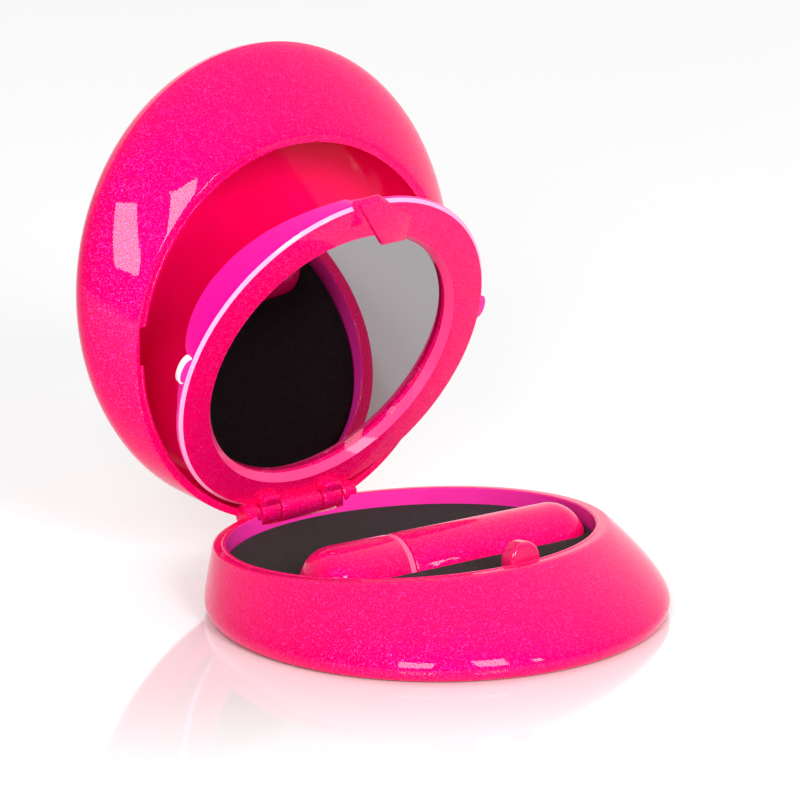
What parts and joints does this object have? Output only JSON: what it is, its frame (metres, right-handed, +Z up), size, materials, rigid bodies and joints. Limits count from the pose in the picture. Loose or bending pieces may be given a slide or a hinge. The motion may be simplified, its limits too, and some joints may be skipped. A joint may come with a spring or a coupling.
{
  "type": "powder compact",
  "caption": "Round compact case with a flared base, a domed lid, a hinged mirror frame and a capsule massager nested in foam, shown open.",
  "frame": {"origin": "on the plane that the base rests on, just behind the middle of the round that it rests on", "axes": "+Z up, X along the hinge pin, +Y towards the hinge at the back, latch at the front"},
  "size_m": [0.082, 0.1019, 0.0919],
  "materials": {
    "glitter_pink_shell": "gloss, pearl pink with fine glitter",
    "magenta_plastic": "smooth gloss",
    "clear_catch": "high gloss, slightly see-through",
    "black_foam": "matt, flocked foam",
    "mirror": "polished",
    "white_silicone": "satin",
    "pale_pink_seal": "satin",
    "steel": "bright",
    "brass": "satin",
    "board": "matt",
    "dark_plastic": "matt"
  },
  "bodies": {
    "base": {"base_shell": "glitter_pink_shell", "base_floor": "magenta_plastic", "latch_tongue": "clear_catch", "hinge_pin": "steel", "foam_insert": "black_foam"},
    "lid": {"lid_shell": "glitter_pink_shell"},
    "mirror": {"mirror_frame": "glitter_pink_shell", "mirror_glass": "mirror", "mirror_backing": "magenta_plastic", "latch_block": "glitter_pink_shell", "detent_nub_left": "white_silicone", "detent_nub_right": "white_silicone"},
    "capsule": {"capsule_body": "glitter_pink_shell", "seal_ring": "pale_pink_seal", "battery_cell_1": "steel", "battery_cell_2": "steel", "battery_cell_3": "steel", "body_contact": "brass", "motor_can": "steel", "motor_holder": "dark_plastic", "switch_board": "board", "tact_switch": "dark_plastic"},
    "cap": {"capsule_cap": "glitter_pink_shell", "cap_contact": "brass", "contact_spring": "steel"},
    "rotor": {"motor_shaft": "steel", "eccentric_weight": "brass"},
    "button": {"power_button": "magenta_plastic"}
  },
  "joints": [
    {"name": "lid_hinge", "type": "hinge", "parent": "base", "child": "lid", "pos_m": [0, 0.04106, 0.0091], "axis": [-1, 0, 0], "range_deg": [-84.4, 0]},
    {"name": "mirror_hinge", "type": "hinge", "parent": "base", "child": "mirror", "pos_m": [0, 0.04106, 0.0091], "axis": [-1, 0, 0], "range_deg": [-63.3, 0]},
    {"name": "capsule_lift", "type": "slide", "parent": "base", "child": "capsule", "axis": [0, 0, 1], "range_m": [0, 0.045]},
    {"name": "cap_twist", "type": "hinge", "parent": "capsule", "child": "cap", "pos_m": [0, -0.0011, 0.00875], "axis": [0.9957, -0.0924, 0], "range_deg": [0, 90]},
    {"name": "button_press", "type": "slide", "parent": "capsule", "child": "button", "axis": [-0.9957, 0.0924, 0], "range_m": [0, 0.0005], "stiffness_N_per_m": 800},
    {"name": "motor_spin", "type": "hinge", "parent": "capsule", "child": "rotor", "pos_m": [0, -0.0011, 0.00875], "axis": [0.9957, -0.0924, 0], "continuous": true}
  ],
  "couplings": [
    {"joint": "mirror_hinge", "follows": "lid_hinge", "ratio": 0.75}
  ]
}
